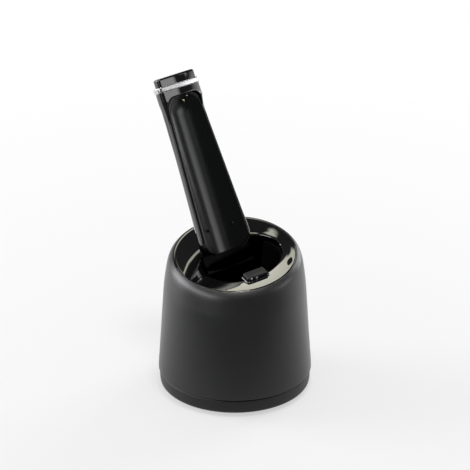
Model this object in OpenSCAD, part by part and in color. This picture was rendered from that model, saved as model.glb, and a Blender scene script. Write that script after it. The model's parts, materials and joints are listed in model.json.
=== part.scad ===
// Cleaning station for an electric shaver: a round pot with a dished deck and a washing bowl,
// and a leaning tower that cradles the shaver. The whole housing lifts off a base tray so that
// the fluid cartridge under it can be changed.
// +Z is up, the origin is on the ground on the pot's axis, and the cradle faces -Y.

/* [Base] */
// Height of the rubber feet
foot_h = 1.5; // [1:0.1:3]
// Height of the base tray, without its feet
tray_h = 12.1; // [10:0.1:16]
// Radius of the base tray at its top
tray_r = 58.2; // [57.5:0.1:58.4]
// Thickness of the tray's floor and wall
tray_wall = 2; // [1.5:0.1:3]
// Shadow gap between the tray and the housing
seam_gap = 0.8; // [0.4:0.1:1.2]

/* [Pot] */
// Outer radius of the housing at the seam
pot_r = 59; // [58:0.5:64]
// Radius of the deck inside the housing's shoulder
deck_r = 47; // [46:0.5:49]
// Height of the middle of the deck above the ground
deck_z = 110.3; // [109:0.1:115]
// Slope of the deck, down towards -X and -Y
deck_slope = 10.7; // [6:0.1:12]
// Wall thickness of the moulded housings
wall = 2.2; // [1.8:0.1:2.6]

/* [Bowl] */
// Half width of the bowl's mouth
mouth_a = 33.2; // [32:0.1:34]
// Half depth of the bowl's mouth
mouth_b = 26.7; // [26:0.1:28]
// How far the mouth's lip lies below the edge of the deck
dish_drop = 2; // [1.5:0.1:2.4]
// Height of the bowl's floor above the ground
bowl_floor_z = 66; // [65:0.5:72]
// Wall thickness of the bowl
bowl_wall = 1.8; // [1.4:0.1:2.4]

/* [Tower] */
// Angle that the tower leans back
lean = 29.4; // [28:0.1:30.5]
// Length of the tower, from the foot of the cradle to the underside of the trim band
tower_len = 125.8; // [120:0.1:130]
// Width of the tower at its foot
tower_w0 = 47; // [46:0.1:48]
// Width of the tower's waist, below its head
tower_w1 = 35.2; // [34.5:0.1:36]
// Width of the tower's head
head_w = 38.4; // [37.5:0.1:39]
// How far the head stands forward of the cradle panel
head_front = 3.4; // [2.5:0.1:4]
// Depth of the tower at its foot
tower_d0 = 18.5; // [18:0.5:20]
// Depth of the tower's waist
tower_d1 = 15; // [15:0.1:16]
// Depth of the tower's head
head_d = 15; // [15:0.1:16]
// Height of the trim band
band_h = 4.2; // [3:0.1:5]
// Height of the lift button above the band
lift_button_h = 6.8; // [5:0.1:9]
// Depth of the hollow along the middle of the cradle panel, at its foot
cradle_hollow = 7; // [6:0.1:7.5]
// Depth of that hollow at its top
cradle_hollow_top = 3.6; // [3:0.1:4]

/* [Controls] */
// Width of the start button
start_w = 17.5; // [16:0.5:19]
// Depth of the start button, front to back
start_d = 8.4; // [7:0.1:9]
// Distance of the start button in front of the pot's axis
start_y = 30.4; // [30:0.1:31]
// Travel of the start button
start_travel = 0.8; // [0.5:0.1:1]
// Travel of the lift button along the tower
lift_button_travel = 2.5; // [2:0.1:2.8]
// Radius of a charging contact
contact_r = 1.2; // [1:0.1:1.5]
// Travel of a charging contact
contact_travel = 0.9; // [0.6:0.1:1]

/* [Cartridge] */
// Outer radius of the fluid cartridge
cartridge_r = 46.5; // [45:0.5:46.5]
// Height of the cartridge with its lid
cartridge_h = 45.8; // [40:0.1:45.8]
// Wall thickness of the cartridge
cartridge_wall = 1.5; // [1.2:0.1:2]
// How far the housing lifts off the base
lift_travel = 36; // [34:0.5:36]

/* [Inner parts] */
// Radius of the guide pins
guide_r = 2.1; // [1.8:0.1:2.2]
// Radial clearance of a guide pin in its column
guide_clear = 0.08; // [0.05:0.01:0.1]
// Radius of the pump's motor
motor_r = 10.5; // [9:0.5:11]
// Height of the pump's motor
motor_h = 24; // [20:1:28]
// Radius of the pump's chamber
pump_r = 12; // [11.5:0.5:12.5]
// Outer radius of the suction pipe
pipe_r = 2.5; // [2:0.1:3]
// Radius of the drying fan's rotor
fan_r = 12; // [10:0.5:12.5]

/* [Hidden] */

fit = 0.3;                      // clearance between neighbouring mouldings
tray_top = foot_h + tray_h;
seam_z = tray_top + seam_gap;
floor_z = foot_h + tray_wall;   // top of the tray's floor
round_n = 72;                   // points round the pot
cradle_n = 10;                  // points in each rounded corner of the tower
slope_axis = [1, -1, 0];
shelf_drop = 7;                 // depth of the bowl's rim below the deck's edge
lip_drop = shelf_drop - 0.2;    // depth of the deck ring's own lip
ledge = 1.8;                    // depth of the ledge that the deck ring sits on
chassis_z = 55;
chassis_h = 2.5;
chassis_r = 54.4;

// Stations of the pot's outside: [height, radius, share of the deck's slope].
pot_stations = [
    [seam_z, pot_r - 0.6, 0],
    [seam_z + 0.8, pot_r, 0],
    [(seam_z + deck_z) * 0.36, pot_r - 1.1, 0],
    [(seam_z + deck_z) * 0.53, pot_r - 2.5, 0.15],
    [deck_z - 24, deck_r + 7.9, 0.5],
    [deck_z - 13, deck_r + 6.2, 0.9],
    [deck_z - 8, deck_r + 5.3, 1],
    [deck_z - 4, deck_r + 4.1, 1],
    [deck_z - 1.6, deck_r + 2.6, 1],
    [deck_z - 0.3, deck_r + 1.0, 1],
    [deck_z, deck_r + 0.2, 1]];

// Stations of its inside, from the deck ring's ledge down past the chassis' ledge.
pot_inside = [
    [deck_z - ledge, deck_r + 0.2, 1],
    [deck_z - ledge, deck_r - 2.2, 1],
    [deck_z - ledge - 1.4, deck_r - 2.2, 1],
    [deck_z - ledge - 5.4, deck_r + 4.5 - wall, 1],
    [deck_z - 13, deck_r + 6.2 - wall, 0.9],
    [deck_z - 24, deck_r + 7.9 - wall, 0.5],
    [(seam_z + deck_z) * 0.53, pot_r - 2.5 - wall, 0.15],
    [chassis_z, pot_r - 1.8 - wall, 0],
    [chassis_z, chassis_r - 1.4, 0],
    [chassis_z - 1.8, chassis_r - 1.4, 0],
    [chassis_z - 4.4, pot_r - 1.5 - wall, 0],
    [seam_z + 0.8, pot_r - wall, 0],
    [seam_z, pot_r - wall, 0]];

// ---- Helpers -------------------------------------------------------------------------------

// An ellipse of half axes a and b at height z, which takes a share of the deck's slope.
function oval(a, b, z, share = 1, shift = [0, 0], n = round_n) = [for (i = [0:n - 1])
    let (t = 360 * i / n, x = shift[0] + a * cos(t), y = shift[1] + b * sin(t))
    [x, y, z + share * tan(deck_slope) * (x + y) / sqrt(2)]];

// A tower section at s: width w, its back at a depth d, its front at y = -f. Its sides are straight
// down to a depth e and its back is half an ellipse. rf is the radius of its front corners.
function tower_section(w, d, e, s, grow = 0, rf = 1.2, f = 0, n = cradle_n) =
    let (hw = w / 2 + grow, lo = -grow - f)
    concat(
        [for (i = [0:n / 2]) let (t = 180 + 180 * i / n) [-hw + rf + rf * cos(t), lo + rf + rf * sin(t), s]],
        [for (i = [0:n / 2]) let (t = 270 + 180 * i / n) [hw - rf + rf * cos(t), lo + rf + rf * sin(t), s]],
        [for (i = [0:2 * n]) let (t = 90 * i / n) [hw * cos(t), e + (d - e + grow) * sin(t), s]]);

// A closed skin through rings that all have the same number of points.
module loft(rings) {
    n = len(rings[0]);
    m = len(rings);
    sides = [for (k = [0:m - 2]) for (i = [0:n - 1]) let (j = (i + 1) % n)
        each [[k * n + i, (k + 1) * n + i, k * n + j], [k * n + j, (k + 1) * n + i, (k + 1) * n + j]]];
    first = [for (i = [0:n - 1]) i];
    last = [for (i = [n - 1:-1:0]) (m - 1) * n + i];
    polyhedron([for (r = rings) each r], concat(sides, [first, last]), convexity = 6);
}

// The frame of the sloping deck, and the frame of the leaning tower with its front on y = 0.
tower_y = 7;
tower_z = deck_z + 5.3;
module deck_frame() translate([0, 0, deck_z]) rotate(deck_slope, slope_axis) children();
module tower_frame() translate([0, tower_y, tower_z]) rotate([-lean, 0, 0]) children();
module mirrored() {
    children();
    mirror([1, 0, 0]) children();
}

module tube(outer, inner, h) difference() {
    cylinder(r = outer, h = h, $fn = 48);
    translate([0, 0, -1]) cylinder(r = inner, h = h + 2, $fn = 48);
}

// ---- Base ----------------------------------------------------------------------------------

foot_ring = 42;
foot_r = 6;
column_x = cartridge_r + 3.9;
column_r = guide_r + guide_clear + 1;
column_top = 52;
screw_r = 1.2;
screw_head_r = 2.4;

module at_feet() for (t = [45:90:315]) rotate(t) translate([foot_ring, 0, 0]) children();

// The tray tapers down to the ground and has a lip that centres the housing.
module base_tray() color([0.1, 0.1, 0.11]) difference() {
    rotate_extrude($fn = 96) polygon([
        [0, foot_h], [tray_r - 4.6, foot_h], [tray_r - 0.9, foot_h + 3], [tray_r - 0.3, foot_h + 3.8],
        [tray_r, tray_top - 0.4], [tray_r - 0.4, tray_top], [tray_r - tray_wall, tray_top],
        [tray_r - tray_wall - 1.6, floor_z + 2], [tray_r - tray_wall - 3, floor_z], [0, floor_z]]);
    at_feet() translate([0, 0, foot_h - 1]) cylinder(r = foot_r + 0.2, h = 1.8, $fn = 48);
    mirrored() translate([column_x, 0, foot_h - 1]) cylinder(r = screw_r + 0.3, h = 8, $fn = 32);
    mirrored() translate([column_x, 0, foot_h - 1]) cylinder(r = screw_head_r + 0.3, h = 2, $fn = 32);
}

module rubber_feet() color([0.15, 0.15, 0.15]) {
    at_feet() cylinder(r = foot_r, h = foot_h + 0.8, $fn = 48);
    cylinder(r = 10, h = foot_h, $fn = 64);
}

module guide_columns() color([0.75, 0.75, 0.72]) mirrored() translate([column_x, 0, floor_z])
    difference() {
        cylinder(r = column_r, h = column_top - floor_z, $fn = 48);
        translate([0, 0, 5]) cylinder(r = guide_r + guide_clear, h = column_top, $fn = 48);
        translate([0, 0, -1]) cylinder(r = screw_r - 0.1, h = 5, $fn = 32);
    }

module base_screws() color([0.7, 0.7, 0.72]) mirrored() translate([column_x, 0, foot_h + 0.1]) {
    cylinder(r = screw_head_r, h = 0.9, $fn = 32);
    cylinder(r = screw_r - 0.1, h = 6 - 0.8, $fn = 32);
}

// Soft tubes at the bottom of the columns, which cushion the guide pins as the housing lands.
pin_tip = 13;
module column_buffers() color([0.2, 0.2, 0.2]) mirrored() translate([column_x, 0, floor_z + 5])
    tube(guide_r - 0.2, 0.8, pin_tip - floor_z - 5.1);

// The post that the latch holds, at the back of the tray.
hook_y = 49.2;
catch_z = 45.5;
module catch_post() color([0.75, 0.75, 0.72]) {
    translate([-4, hook_y - 3.2, floor_z]) cube([8, 2, catch_z - floor_z + 2.5]);
    translate([-4, hook_y - 1.2, catch_z]) cube([8, 1.2, 2.5]);
    translate([-9, hook_y - 3.2, floor_z]) cube([18, 4, 1.5]);
}

// ---- Cartridge -----------------------------------------------------------------------------

cartridge_back = 44;
tub_h = cartridge_h - 2;
cart_z = floor_z + 0.2;
pump_at = [35, 20];
drain_at = [2, -14];
suction_port_r = 6;
drain_port_r = 9;
fluid_h = 30;

module cartridge_outline(grow, h) intersection() {
    cylinder(r = cartridge_r + grow, h = h, $fn = 96);
    translate([-60, -60, 0]) cube([120, 60 + cartridge_back + grow, h]);
}

module cartridge_tub() color([0.3, 0.45, 0.7]) difference() {
    union() {
        translate([0, 0, cart_z]) cartridge_outline(-1, tub_h);
        translate([0, 0, cart_z + tub_h - 4]) cartridge_outline(0, 2.2);
    }
    translate([0, 0, cart_z + cartridge_wall]) cartridge_outline(-1 - cartridge_wall, tub_h);
}

module cartridge_lid() color([0.85, 0.87, 0.9]) translate([0, 0, cart_z + tub_h]) difference() {
    union() {
        translate([0, 0, -1.8]) difference() {
            cartridge_outline(0, 3);
            translate([0, 0, -1]) cartridge_outline(-0.9, 2.8);
        }
        translate([0, 0, -2.5]) difference() {
            cartridge_outline(-1 - cartridge_wall - 0.1, 3);
            translate([0, 0, -1]) cartridge_outline(-3.8, 4);
        }
        translate([pump_at[0], pump_at[1], 0]) cylinder(r = suction_port_r + 1.5, h = 2, $fn = 48);
        translate([drain_at[0], drain_at[1], 0]) cylinder(r = drain_port_r + 1.5, h = 2, $fn = 48);
    }
    translate([pump_at[0], pump_at[1], -3]) cylinder(r = suction_port_r, h = 8, $fn = 48);
    translate([drain_at[0], drain_at[1], -3]) cylinder(r = drain_port_r, h = 8, $fn = 48);
}

// Flat seals inside the two ports.
module port_seals() color([0.2, 0.2, 0.2]) {
    translate([pump_at[0], pump_at[1], cart_z + tub_h]) tube(suction_port_r, pipe_r + 0.8, 1.6);
    translate([drain_at[0], drain_at[1], cart_z + tub_h]) tube(drain_port_r, 5.6, 1.6);
}

module cleaning_fluid() color([0.35, 0.55, 0.85]) difference() {
    translate([0, 0, cart_z + cartridge_wall]) cartridge_outline(-1 - cartridge_wall - 0.05, fluid_h);
    translate([pump_at[0], pump_at[1], pin_tip - 1])
        cylinder(r = pipe_r + 0.8, h = 60, $fn = 32);
}

// ---- Pot -----------------------------------------------------------------------------------

socket_z = 66;
socket_w = 14;
socket_h = 9;
socket_turn = 24;
module at_socket() rotate(socket_turn) translate([0, 0, socket_z]) children();

// A ring-shaped skin whose section goes up its outside and down its inside.
module ring_loft(rings) {
    n = len(rings[0]);
    m = len(rings);
    polyhedron([for (r = rings) each r], [for (k = [0:m - 1]) for (i = [0:n - 1])
        let (j = (i + 1) % n, l = (k + 1) % m)
        each [[k * n + i, l * n + i, k * n + j], [k * n + j, l * n + i, l * n + j]]], convexity = 6);
}

module outer_shell() color([0.2, 0.2, 0.21]) difference() {
    ring_loft([for (s = concat(pot_stations, pot_inside)) oval(s[1], s[1], s[0], s[2])]);
    at_socket() translate([-socket_w / 2 - fit, 40, -socket_h / 2 - fit])
        cube([socket_w + 2 * fit, 30, socket_h + 2 * fit]);
    translate([-4.5, 48, chassis_z - 8]) cube([9, 7.3, 9]);
}

// Stations of the deck's dish, from its edge to the lip that turns down into the mouth:
// [share of the way from the edge to the mouth, depth below the deck].
dish = [[0, ledge], [0, 0.3], [0.04, 0], [0.12, 0.05], [0.35, 0.45], [0.6, 1], [0.8, 1.5],
    [0.93, dish_drop], [0.985, dish_drop + 1], [1, dish_drop + 2.4]];
deck_skin = 1.8;
mouth_shift = [3.4, -4.2];
function dish_ring(u, depth, skin = 0) = oval(
    (deck_r - skin * 1.3) * (1 - u) + (mouth_a + skin) * u,
    (deck_r - skin * 1.3) * (1 - u) + (mouth_b + skin) * u,
    deck_z - depth, 1, mouth_shift * u);

console_w = start_w + 3;
console_d = start_d + 3;
control_turn = -8;
module control_frame() deck_frame() rotate(control_turn) translate([0, -start_y, 0]) children();
window_at = [26.5, -33.8];
module window_outline(grow) translate(window_at) rotate(38) intersection() {
    translate([0, 6.9]) circle(r = 8.5 + grow, $fn = 64);
    translate([0, -6.9]) circle(r = 8.5 + grow, $fn = 64);
    square([20, 20], center = true);
}
module tower_hole() tower_frame() loft([for (k = [0:3]) let (q = tower_stations[k])
    tower_section(q[1], q[2], q[3], q[0] - (k == 0 ? fit : 0), fit)]);

module deck_ring() color([0.05, 0.05, 0.06]) difference() {
    union() {
        ring_loft(concat(
            [for (k = [1:len(dish) - 2]) dish_ring(dish[len(dish) - k][0], dish[len(dish) - k][1]
                + deck_skin, deck_skin)],
            [dish_ring(0, ledge), dish_ring(0, 0.3)],
            [for (k = [2:len(dish) - 1]) dish_ring(dish[k][0], dish[k][1])],
            [dish_ring(1, lip_drop), dish_ring(1, lip_drop, deck_skin)]));
        control_frame() translate([-console_w / 2, -console_d / 2 - 0.6, -lip_drop + 1.2])
            cube([console_w, console_d, lip_drop - dish_drop + 0.2]);
        control_frame() mirrored() translate([8.5, stem_y - 2, board_z + 1.2])
            cylinder(r = 1.1, h = -lip_drop + 2 - board_z, $fn = 32);
    }
    tower_hole();
    control_frame() translate([-start_w / 2 - 0.25, -start_d / 2 - 0.25, -dish_drop - 0.8])
        cube([start_w + 0.5, start_d + 0.5, 10]);
    control_frame() translate([0, stem_y, -20]) cylinder(r = stem_r + 0.3, h = 30, $fn = 32);
    deck_frame() translate([0, 0, -6]) linear_extrude(12) window_outline(0.1);
}

// The bowl: a shelf under the mouth's lip, and a washing well with a straight back wall.
well_back = 6;
function well_oval(a, b, z, share) = oval(a, b, z, share, mouth_shift);
module bowl() color([0.07, 0.07, 0.08]) difference() {
    union() {
        intersection() {
            loft([well_oval(mouth_a - 9, mouth_b - 8, bowl_floor_z - 3, 0),
                well_oval(mouth_a - 3, mouth_b - 3, bowl_floor_z + 6, 0),
                well_oval(mouth_a + 1, mouth_b + 1, deck_z - shelf_drop - 1, 1)]);
            translate([-60, -60, 0]) cube([120, 60 + well_back + bowl_wall, 200]);
        }
        loft([well_oval(mouth_a + 3, mouth_b + 3, deck_z - shelf_drop - 1.4, 1),
            well_oval(mouth_a + 3, mouth_b + 3, deck_z - lip_drop, 1)]);
    }
    intersection() {
        loft([well_oval(mouth_a - 11, mouth_b - 10, bowl_floor_z, 0),
            well_oval(mouth_a - 5, mouth_b - 5, bowl_floor_z + 7, 0),
            well_oval(mouth_a - 1, mouth_b - 1, deck_z - shelf_drop, 1),
            well_oval(mouth_a - 1, mouth_b - 1, deck_z + 4, 1)]);
        translate([-60, -60, 0]) cube([120, 60 + well_back, 200]);
    }
    tower_hole();
    foot_block(fit);
    translate([drain_at[0], drain_at[1], bowl_floor_z - 10]) cylinder(r = 5, h = 20, $fn = 48);
    control_frame() translate([-switch_w / 2 - fit, -console_d, board_z + 1])
        cube([switch_w + 2 * fit, console_d + stem_y + 0.9, 20]);
    control_frame() translate([0, stem_y, -12]) cylinder(r = stem_r + fit, h = 20, $fn = 32);
    translate([nozzle_x, 0, nozzle_z]) rotate([-90, 0, 0]) cylinder(r = 2, h = 20, $fn = 32);
}
nozzle_x = 22;
nozzle_z = bowl_floor_z + 16;

module bowl_strainer() color([0.6, 0.6, 0.62]) translate([drain_at[0], drain_at[1], bowl_floor_z - 3])
    difference() {
        cylinder(r = 4.9, h = 3.6, $fn = 48);
        translate([0, 0, -1]) cylinder(r = 4, h = 3.6, $fn = 48);
        for (t = [0:60:300]) rotate(t) translate([2.6, 0, 0]) cylinder(r = 0.7, h = 9, $fn = 24);
        cylinder(r = 0.7, h = 9, $fn = 24);
    }

// ---- Chassis and what stands on it ---------------------------------------------------------

chassis_top = chassis_z + chassis_h;
foot_back = 22;
foot_wall = 1.6;
post_at = [[-18, -20], [22, -22], [-18, 2.5], [20, 1]];
lever_y = 46;
lever_z = 76;

module chassis() color([0.6, 0.62, 0.6]) difference() {
    union() {
        translate([0, 0, chassis_z]) cylinder(r = chassis_r, h = chassis_h, $fn = 96);
        for (p = post_at) translate([p[0], p[1], chassis_top - 0.5])
            cylinder(r = 3, h = bowl_floor_z - 3.2 - chassis_top + 0.5, $fn = 32);
        mirrored() translate([5.3, lever_y - 4, chassis_top - 0.5])
            cube([3, 8, lever_z - chassis_top + 4]);
    }
    rotate_extrude($fn = 96) polygon([[chassis_r - 1, 0], [60, 0], [60, chassis_z], [chassis_r, chassis_z],
        [chassis_r, chassis_z + 0.4], [chassis_r - 1, chassis_z]]);
    translate([pump_at[0], pump_at[1], chassis_z - 1]) cylinder(r = pipe_r + 0.2, h = 9, $fn = 32);
    translate([drain_at[0], drain_at[1], chassis_z - 1]) cylinder(r = 5, h = 9, $fn = 48);
    translate([-5, hook_y - 9, chassis_z - 1]) cube([10, 20, 9]);
    translate([-20, lever_y, lever_z]) rotate([0, 90, 0]) cylinder(r = 1.55, h = 40, $fn = 32);
}

module guide_pins() color([0.8, 0.8, 0.82]) mirrored() translate([column_x, 0, pin_tip])
    cylinder(r = guide_r, h = chassis_z - pin_tip, $fn = 48);

module latch_pin() color([0.8, 0.8, 0.82]) translate([-8.5, lever_y, lever_z]) rotate([0, 90, 0])
    cylinder(r = 1.5, h = 17, $fn = 32);

// The foot that carries the tower on the chassis, open behind for the latch and notched in front for
// the swing of its lever.
module foot_block(grow) difference() {
    translate([-18 - grow, well_back + bowl_wall + fit - grow, chassis_top])
        cube([36 + 2 * grow, foot_back - well_back - bowl_wall + grow, 60]);
    tower_frame() translate([-60, -60, tower_cut - 0.05]) cube([120, 120, 120]);
}
module tower_foot() color([0.12, 0.12, 0.13]) difference() {
    foot_block(0);
    translate([-15.5, well_back + bowl_wall + fit + foot_wall, chassis_top + 3])
        cube([31, foot_back, 60]);
    translate([-4, well_back, lever_z + 14]) cube([8, 10, 40]);
}

module pump_motor() color([0.7, 0.7, 0.72])
    translate([pump_at[0], pump_at[1], chassis_top + pump_h + 0.1]) difference() {
        cylinder(r = motor_r, h = motor_h, $fn = 48);
        translate([0, 0, -1]) cylinder(r = 1.56, h = motor_h - 4, $fn = 32);
        translate([0, 0, 2]) cylinder(r = 4.6, h = motor_h - 6, $fn = 32);
    }

pump_h = 11;
module pump_chamber() color([0.85, 0.85, 0.82]) translate([pump_at[0], pump_at[1], chassis_top])
    difference() {
        cylinder(r = pump_r, h = pump_h, $fn = 48);
        translate([0, 0, 2]) cylinder(r = pump_r - 2, h = pump_h - 4, $fn = 48);
        translate([0, 0, -1]) cylinder(r = pipe_r - 0.8, h = 5, $fn = 32);
        translate([0, 0, pump_h - 3]) cylinder(r = 1.56, h = 5, $fn = 32);
        translate([-6, 0, pump_h / 2]) rotate([90, 0, 0]) cylinder(r = 1.6, h = pump_r + 2, $fn = 32);
    }

module suction_pipe() color([0.85, 0.85, 0.82])
    translate([pump_at[0], pump_at[1], pin_tip + 1]) tube(pipe_r, pipe_r - 0.8, chassis_top - pin_tip - 1);

module delivery_nozzle() color([0.85, 0.85, 0.82]) translate([nozzle_x, well_back - 1.5, nozzle_z])
    rotate([-90, 0, 0]) tube(1.9, 1.1, 8);

module pump_rotor() color([0.5, 0.5, 0.52])
    translate([pump_at[0], pump_at[1], chassis_top + 3]) {
        cylinder(r = 1.5, h = motor_h + 2, $fn = 32);
        cylinder(r = 3, h = 4, $fn = 32);
        for (t = [0:60:300]) rotate(t) translate([0, -0.6, 0]) cube([pump_r - 2.6, 1.2, 4]);
        translate([0, 0, pump_h]) cylinder(r = 4.2, h = motor_h - 8, $fn = 32);
    }

fan_at = [-33, 21];
fan_h = 11;
module fan_housing() color([0.15, 0.15, 0.16]) translate([fan_at[0], fan_at[1], chassis_top])
    difference() {
        cylinder(r = fan_r + 2, h = fan_h, $fn = 48);
        translate([0, 0, 1.5]) cylinder(r = fan_r + 0.6, h = fan_h, $fn = 48);
        translate([0, -fan_r - 4, 3]) rotate(20) cube([8, 10, 6]);
    }

module fan_rotor() color([0.1, 0.1, 0.11]) translate([fan_at[0], fan_at[1], chassis_top + 1.8]) {
    cylinder(r = 5, h = fan_h - 3, $fn = 32);
    for (t = [0:40:320]) rotate(t) translate([4, -0.5, 0]) cube([fan_r - 4.4, 1, fan_h - 4]);
}

module main_board() color([0.1, 0.35, 0.2]) translate([-44, -22, chassis_top]) {
    cube([1.6, 26, 22]);
    translate([1.6, 4, 6]) cube([1.6, 9, 9]);
    translate([1.6, 16, 4]) cube([3, 6, 8]);
}

stem_y = -3.1;
stem_r = 1.2;
board_z = -15;
switch_w = 6;
module button_board() color([0.1, 0.35, 0.2]) control_frame()
    translate([-10, stem_y - 5.6, board_z]) cube([20, 5.6, 1.2]);

module start_switch() color([0.75, 0.75, 0.76]) control_frame()
    translate([-switch_w / 2, stem_y - 3, board_z + 1.2]) cube([switch_w, 3.6, 2.4]);

module housing_screws() color([0.7, 0.7, 0.72]) for (p = post_at)
    translate([p[0], p[1], chassis_z - 1.2]) {
        cylinder(r = 2.2, h = 1.2, $fn = 32);
    }

module power_socket() color([0.06, 0.06, 0.07]) at_socket() difference() {
    translate([-socket_w / 2, 42, -socket_h / 2]) cube([socket_w, 12.6, socket_h]);
    translate([-socket_w / 2 + 1.5, 45, -socket_h / 2 + 1.5]) cube([socket_w - 3, 12, socket_h - 3]);
    for (x = [-2.6, 2.6]) translate([x, 41, 0]) rotate([-90, 0, 0])
        cylinder(r = 0.9, h = 9, $fn = 24);
}

module socket_pins() color([0.8, 0.8, 0.82]) at_socket() for (x = [-2.6, 2.6])
    translate([x, 40.5, 0]) rotate([-90, 0, 0]) cylinder(r = 0.9, h = 10.5, $fn = 24);

// ---- Tower ---------------------------------------------------------------------------------

tower_cut = -10;
split = 5;
// Stations up the tower: [distance along it, width, depth, depth of the straight sides, how far
// its front stands forward].
tower_stations = [
    [tower_cut, tower_w0 + 0.6, tower_d0, 3, 0],
    [0, tower_w0, tower_d0, 3, 0],
    [tower_len * 0.08, tower_w0 - 1.4, tower_d0 - 0.3, 3, 0],
    [tower_len * 0.2, tower_w0 - 3.4, tower_d0 - 1, 3, 0],
    [tower_len * 0.4, tower_w1 + 5.8, tower_d1 + 1.4, 3, 0],
    [tower_len * 0.6, tower_w1 + 3, tower_d1 + 0.5, 3.4, 0],
    [tower_len * 0.76, tower_w1 + 0.9, tower_d1 + 0.2, 4.6, 0],
    [tower_len * 0.82, tower_w1 + 0.4, tower_d1, 4.6, 0],
    [tower_len * 0.862, tower_w1 + 0.2, tower_d1, 4.4, 0.6],
    [tower_len * 0.9, tower_w1 + 1.6, tower_d1, 2.9, 2.3],
    [tower_len * 0.94, head_w - 0.4, head_d, 2.6, head_front],
    [tower_len, head_w - 0.4, head_d, 2.4, head_front]];
head_rf = 3;

module tower_solid() loft([for (q = tower_stations)
    tower_section(q[1], q[2], q[3], q[0], 0, q[4] > 0 ? head_rf : 1.2, q[4])]);
module tower_core() translate([0, wall, 0]) loft([for (k = [0:len(tower_stations) - 1]) let (q = tower_stations[k])
    tower_section(q[1] - 2 * wall, q[2] - 2 * wall, max(1.3, q[3] - wall),
        q[0] + (k == 0 ? -1 : k == len(tower_stations) - 1 ? 1 : 0), 0, 1.2)]);

// The panel's outline, rounded at its top and at its foot, in the tower's front plane.
panel_s0 = -9;
panel_s1 = tower_len - 5.4;
panel_w0 = tower_w0 - 4.4;
panel_w1 = tower_w1 - 3.2;
panel_r1 = 7;
panel_join = 8;
module panel_shape(grow) {
    polygon([[-panel_w0 / 2 - grow, panel_join], [panel_w0 / 2 + grow, panel_join],
        [panel_w1 / 2 + grow, panel_s1 - panel_r1], [-panel_w1 / 2 - grow, panel_s1 - panel_r1]]);
    for (x = [-1, 1]) translate([x * (panel_w1 / 2 - panel_r1), panel_s1 - panel_r1])
        circle(r = panel_r1 + grow, $fn = 64);
    translate([-panel_w1 / 2 + panel_r1, panel_s1 - panel_r1 - 1])
        square([panel_w1 - 2 * panel_r1, panel_r1 + grow + 1]);
    translate([-panel_w0 / 2 - grow, panel_s0]) square([panel_w0 + 2 * grow, panel_join - panel_s0 + 0.1]);
}
module panel_prism(grow, front, depth) translate([0, depth, 0]) rotate([90, 0, 0])
    linear_extrude(depth - front) panel_shape(grow);

// The hollow: a long cylinder that lies deeper at the panel's foot, with a ball at its top.
hollow_r = (pow(panel_w0 / 2 - 1.5, 2) + pow(cradle_hollow, 2)) / (2 * cradle_hollow);
hollow_top = tower_len - 20;
hollow_tilt = atan((cradle_hollow - cradle_hollow_top) / hollow_top);
module hollow(grow) translate([0, cradle_hollow - hollow_r, 0]) rotate([hollow_tilt, 0, 0]) {
    translate([0, 0, -30]) cylinder(r = hollow_r + grow, h = hollow_top + 30, $fn = 128);
    translate([0, 0, hollow_top]) sphere(r = hollow_r + grow, $fn = 96);
}

// Places on the tower's front of the two charging contacts: across it, and along it.
contact_at = [[0.6, tower_len - 10.2], [4.8, tower_len - 7.2]];
board_depth = 6;
panel_skin = 2;
module at_contact(k, depth) translate([contact_at[k][0], depth, contact_at[k][1]])
    rotate([-90, 0, 0]) children();

// The front housing: a rail on each side of the panel, and a hollow head above it.
head_cavity = 29;
module tower_front() color([0.05, 0.05, 0.06]) tower_frame() difference() {
    tower_solid();
    translate([-60, split, -60]) cube([120, 60, 260]);
    panel_prism(0.15, -8, 20);
    translate([-head_cavity / 2, wall, panel_s1 - 12]) cube([head_cavity, 20, 30]);
}

module tower_back() color([0.08, 0.08, 0.09]) tower_frame() difference() {
    tower_solid();
    tower_core();
    translate([-60, split + 0.25 - 60, -60]) cube([120, 60, 260]);
}

// The matt panel that the shaver's back lies in, with two nubs that steady the shaver and posts
// behind it for the contacts' board.
module cradle_panel() color([0.12, 0.12, 0.12]) tower_frame() difference() {
    union() {
        panel_prism(0, -0.2, panel_skin);
        intersection() {
            panel_prism(-0.05, -0.2, board_depth + 5);
            hollow(panel_skin);
        }
        for (x = [-7.6, 9.6]) translate([x, 1, contact_at[0][1] + 1.5]) rotate([-90, 0, 0])
            cylinder(r = 1, h = board_depth - 1, $fn = 32);
    }
    difference() {
        hollow(0);
        for (x = [-1, 1]) translate([x * 11.2, -1, 15]) rotate([-90, 0, 0])
            cylinder(r = 1, h = 9, $fn = 24);
    }
    for (x = [-1, 1]) translate([x * 11.2, -8, 15]) rotate([-90, 0, 0])
        cylinder(r = 1.2, h = 10.6, $fn = 24);
    for (k = [0, 1]) at_contact(k, -5) cylinder(r = contact_r + 0.15, h = 20, $fn = 32);
}

module contact_board() color([0.1, 0.35, 0.2]) tower_frame()
    translate([-9, board_depth, contact_at[0][1] - 2]) cube([20, 1.2, 7]);

module contact_pin(k) color([0.85, 0.7, 0.35]) tower_frame() at_contact(k, -0.7)
    cylinder(r = contact_r, h = board_depth - 0.2 - contact_travel, $fn = 32);

// The band is an open frame round the lift button.
button_w = head_w - 2.8;
button_d = head_d - 2.1;
button_front = head_front - 0.5;
button_rf = 2.4;
module trim_band() color([0.85, 0.85, 0.87]) tower_frame() difference() {
    loft([for (q = [[0.1, 0], [1, 0.45], [band_h - 1, 0.45], [band_h, 0]])
        tower_section(head_w, head_d, 2.6, tower_len + q[0], q[1], head_rf, head_front)]);
    loft([for (s = [tower_len - 2, tower_len + band_h + 2])
        tower_section(button_w, button_d, 2.6, s, fit, button_rf, button_front)]);
}

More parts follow.
